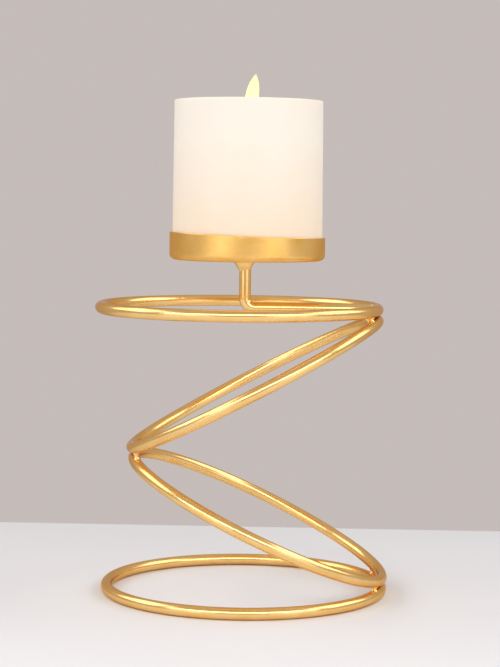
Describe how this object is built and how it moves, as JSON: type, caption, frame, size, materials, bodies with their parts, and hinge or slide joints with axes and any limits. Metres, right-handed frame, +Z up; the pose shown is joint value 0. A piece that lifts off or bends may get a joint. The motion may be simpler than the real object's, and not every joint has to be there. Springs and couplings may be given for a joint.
{
  "type": "candle holder",
  "caption": "Wire candle holder of round rings welded in a zigzag, with a stem, a shallow cup and a flameless pillar candle that lifts out.",
  "frame": {"origin": "under the middle of the base ring, level with its underside", "axes": "+Z up, +X to the right and +Y towards the rear; the rings zigzag in the XZ plane"},
  "size_m": [0.1484, 0.1446, 0.2601],
  "materials": {
    "gold_plate": "satin gold plating over steel wire and sheet",
    "ivory_wax": "smooth ivory wax, faintly translucent",
    "white_plastic": "fine moulded grain",
    "cell_wrap": "plain printed sleeve, no lettering",
    "contact_metal": "nickel plate",
    "screw_steel": "bright steel",
    "switch_black": "moulded black plastic",
    "board_green": "solder mask",
    "copper_wire": "enamelled copper wire",
    "led_lens": "clear warm lens",
    "flame_film": "thin translucent film lit from below",
    "magnet_metal": "nickel plate"
  },
  "bodies": {
    "holder": {"base_ring": "gold_plate", "lower_ring": "gold_plate", "upper_ring": "gold_plate", "top_ring": "gold_plate", "weld_base_right": "gold_plate", "weld_mid_left": "gold_plate", "weld_top_right": "gold_plate", "stem": "gold_plate", "weld_stem_ring": "gold_plate", "weld_stem_cup": "gold_plate", "cup": "gold_plate"},
    "candle": {"wax_shell": "ivory_wax", "base_plate": "white_plastic", "battery_cover": "white_plastic", "cover_screw": "screw_steel", "battery_tray": "white_plastic", "battery_rear": "cell_wrap", "battery_front": "cell_wrap", "contact_left": "contact_metal", "contact_right": "contact_metal", "switch_housing": "switch_black", "circuit_board": "board_green", "core_housing": "white_plastic", "coil_bobbin": "white_plastic", "coil_winding": "copper_wire", "flame_carrier": "white_plastic", "flame_pivot_wire": "screw_steel", "led": "led_lens"},
    "flame_leaf": {"flame": "flame_film", "flame_magnet": "magnet_metal"},
    "switch_knob": {"power_switch": "switch_black"}
  },
  "joints": [
    {"name": "candle_lift", "type": "slide", "parent": "holder", "child": "candle", "axis": [0, 0, 1], "range_m": [0, 0.03]},
    {"name": "flame_swing", "type": "hinge", "parent": "candle", "child": "flame_leaf", "pos_m": [0, 0, 0.23387], "axis": [0, 1, 0], "range_deg": [-8, 8]},
    {"name": "switch_slide", "type": "slide", "parent": "candle", "child": "switch_knob", "axis": [1, 0, 0], "range_m": [0, 0.002]}
  ]
}
